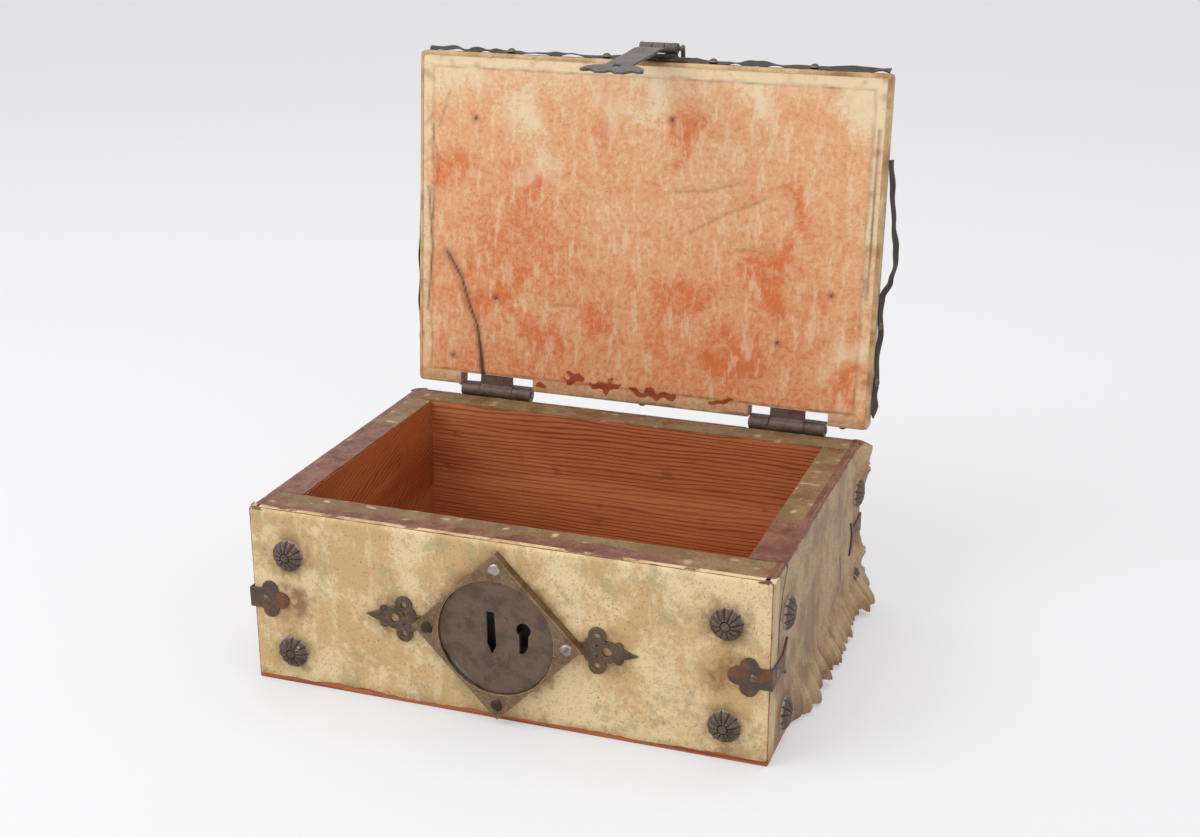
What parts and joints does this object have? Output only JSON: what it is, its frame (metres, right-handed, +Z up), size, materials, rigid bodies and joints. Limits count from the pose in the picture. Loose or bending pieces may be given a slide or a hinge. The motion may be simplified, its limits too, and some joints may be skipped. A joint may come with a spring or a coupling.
{
  "type": "vellum-covered wooden casket",
  "caption": "Small wooden casket covered in vellum, with a hinged lid standing open, an iron hasp, a square lock plate with keyhole, corner straps and fluted nail heads.",
  "frame": {"origin": "middle of the chest's underside, on the surface it stands on", "axes": "+X to the right along the lock side, +Y from the lock side to the hinge side, +Z up"},
  "size_m": [0.3163, 0.2675, 0.3335],
  "materials": {
    "pine_outer": "aged pine, brown, satin",
    "pine_inner": "aged resinous pine, red-brown, satin",
    "pine_lid": "aged pine, matt",
    "vellum_front": "cream vellum with olive stains, matt",
    "vellum_side": "brown stained vellum, matt",
    "vellum_lid": "cream vellum, matt",
    "vellum_lining": "cream vellum stained orange-red, satin",
    "iron_dark": "forged iron, dark brown patina",
    "iron_rusty": "forged iron, rusty brown",
    "iron_plate": "forged iron, pitted dark grey-brown",
    "iron_frame": "forged iron with worn bright edges",
    "iron_bright": "iron nail heads rubbed bright"
  },
  "bodies": {
    "chest": {"front_board": "pine_outer", "back_board": "pine_inner", "left_board": "pine_inner", "right_board": "pine_inner", "bottom_board": "pine_inner", "corner_nails": "iron_dark", "bottom_nails": "iron_dark", "cover_front": "vellum_front", "cover_back": "vellum_side", "cover_left": "vellum_side", "cover_right": "vellum_side", "lock_frame": "iron_frame", "lock_plate": "iron_plate", "lock_case": "iron_plate", "bolt_guides": "iron_dark", "lock_spring": "iron_dark", "lock_nails": "iron_bright", "case_nails": "iron_dark", "finial_left": "iron_dark", "finial_right": "iron_dark", "rosettes_front": "iron_dark", "rosettes_left": "iron_dark", "rosettes_right": "iron_dark", "corner_strap_front_left": "iron_rusty", "corner_strap_front_right": "iron_rusty", "corner_strap_back_left": "iron_rusty", "corner_strap_back_right": "iron_rusty", "corner_strap_nails": "iron_dark", "hinge_strap_chest_left": "iron_dark", "hinge_strap_chest_right": "iron_dark", "hinge_pin_left": "iron_dark", "hinge_pin_right": "iron_dark", "hinge_nails_chest": "iron_dark"},
    "lid": {"lid_board": "pine_lid", "lid_cover": "vellum_lid", "lid_lining": "vellum_lining", "hinge_strap_lid_left": "iron_dark", "hinge_strap_lid_right": "iron_dark", "hinge_nails_lid": "iron_dark", "edge_strip_front": "iron_dark", "edge_strip_back": "iron_dark", "edge_strip_left": "iron_dark", "edge_strip_right": "iron_dark", "edge_strip_nails": "iron_dark", "hasp_leaf": "iron_dark", "hasp_leaf_nails": "iron_dark"},
    "hasp_pin": {"hasp_pin": "iron_dark"},
    "hasp": {"hasp": "iron_dark"},
    "bolt": {"lock_bolt": "iron_dark"}
  },
  "joints": [
    {"name": "lid_hinge", "type": "hinge", "parent": "chest", "child": "lid", "pos_m": [0, 0.1111, 0.1076], "axis": [1, 0, 0], "range_deg": [0, 95.2]},
    {"name": "hasp_pin_turn", "type": "hinge", "parent": "lid", "child": "hasp_pin", "pos_m": [0.0065, 0.14181, 0.33033], "axis": [1, 0, 0], "range_deg": [-12, 0]},
    {"name": "hasp_hinge", "type": "hinge", "parent": "hasp_pin", "child": "hasp", "pos_m": [0.0065, 0.14181, 0.33033], "axis": [1, 0, 0], "range_deg": [-150, 0]},
    {"name": "bolt_slide", "type": "slide", "parent": "chest", "child": "bolt", "axis": [-1, 0, 0], "range_m": [0, 0.008]}
  ],
  "couplings": [
    {"joint": "hasp_pin_turn", "follows": "lid_hinge", "ratio": -0.126}
  ]
}
